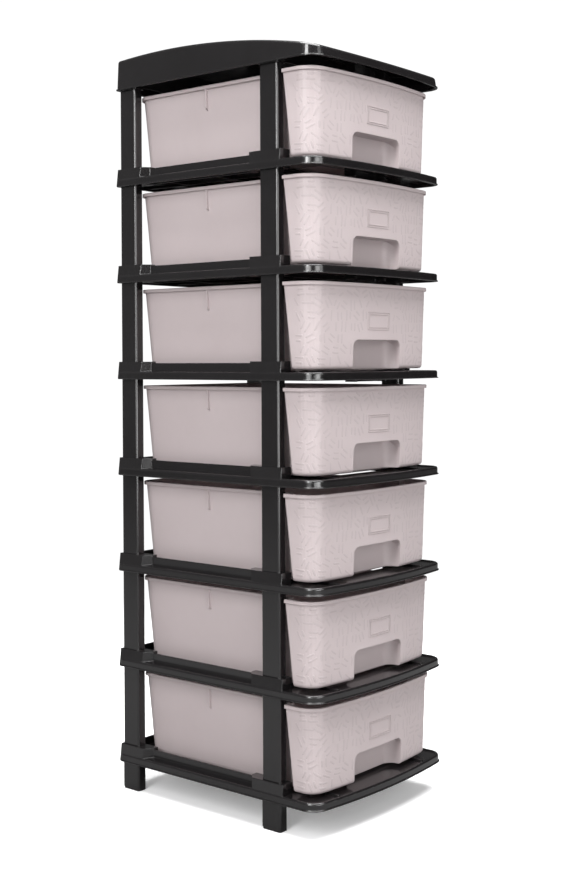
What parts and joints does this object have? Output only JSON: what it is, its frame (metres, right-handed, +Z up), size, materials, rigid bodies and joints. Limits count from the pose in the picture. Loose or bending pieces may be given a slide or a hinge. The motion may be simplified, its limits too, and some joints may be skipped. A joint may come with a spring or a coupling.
{
  "type": "plastic drawer tower",
  "caption": "Free-standing tower of moulded shelves on tube posts, with a sliding tray drawer on each shelf, a domed top cover and block feet.",
  "frame": {"origin": "on the floor, under the middle of the tower's overall box", "axes": "+Z up, the drawer fronts face -Y, +X to the right seen from behind the front looking along +Y"},
  "size_m": [0.2872, 0.3591, 1.006],
  "materials": {
    "frame_plastic": "smooth black moulded plastic with a soft gloss",
    "drawer_plastic": "pale greige moulded plastic, satin"
  },
  "bodies": {
    "frame": {"top_cover": "frame_plastic", "shelf_1": "frame_plastic", "shelf_2": "frame_plastic", "shelf_3": "frame_plastic", "shelf_4": "frame_plastic", "shelf_5": "frame_plastic", "shelf_6": "frame_plastic", "shelf_7": "frame_plastic", "post_1_front_left": "frame_plastic", "post_1_front_right": "frame_plastic", "post_1_back_left": "frame_plastic", "post_1_back_right": "frame_plastic", "post_2_front_left": "frame_plastic", "post_2_front_right": "frame_plastic", "post_2_back_left": "frame_plastic", "post_2_back_right": "frame_plastic", "post_3_front_left": "frame_plastic", "post_3_front_right": "frame_plastic", "post_3_back_left": "frame_plastic", "post_3_back_right": "frame_plastic", "post_4_front_left": "frame_plastic", "post_4_front_right": "frame_plastic", "post_4_back_left": "frame_plastic", "post_4_back_right": "frame_plastic", "post_5_front_left": "frame_plastic", "post_5_front_right": "frame_plastic", "post_5_back_left": "frame_plastic", "post_5_back_right": "frame_plastic", "post_6_front_left": "frame_plastic", "post_6_front_right": "frame_plastic", "post_6_back_left": "frame_plastic", "post_6_back_right": "frame_plastic", "post_7_front_left": "frame_plastic", "post_7_front_right": "frame_plastic", "post_7_back_left": "frame_plastic", "post_7_back_right": "frame_plastic", "foot_front_left": "frame_plastic", "foot_front_right": "frame_plastic", "foot_back_left": "frame_plastic", "foot_back_right": "frame_plastic"},
    "drawer_1": {"drawer_1": "drawer_plastic"},
    "drawer_2": {"drawer_2": "drawer_plastic"},
    "drawer_3": {"drawer_3": "drawer_plastic"},
    "drawer_4": {"drawer_4": "drawer_plastic"},
    "drawer_5": {"drawer_5": "drawer_plastic"},
    "drawer_6": {"drawer_6": "drawer_plastic"},
    "drawer_7": {"drawer_7": "drawer_plastic"}
  },
  "joints": [
    {"name": "drawer_1_slide", "type": "slide", "parent": "frame", "child": "drawer_1", "axis": [0, -1, 0], "range_m": [0, 0.29]},
    {"name": "drawer_2_slide", "type": "slide", "parent": "frame", "child": "drawer_2", "axis": [0, -1, 0], "range_m": [0, 0.29]},
    {"name": "drawer_3_slide", "type": "slide", "parent": "frame", "child": "drawer_3", "axis": [0, -1, 0], "range_m": [0, 0.29]},
    {"name": "drawer_4_slide", "type": "slide", "parent": "frame", "child": "drawer_4", "axis": [0, -1, 0], "range_m": [0, 0.29]},
    {"name": "drawer_5_slide", "type": "slide", "parent": "frame", "child": "drawer_5", "axis": [0, -1, 0], "range_m": [0, 0.29]},
    {"name": "drawer_6_slide", "type": "slide", "parent": "frame", "child": "drawer_6", "axis": [0, -1, 0], "range_m": [0, 0.29]},
    {"name": "drawer_7_slide", "type": "slide", "parent": "frame", "child": "drawer_7", "axis": [0, -1, 0], "range_m": [0, 0.29]}
  ]
}
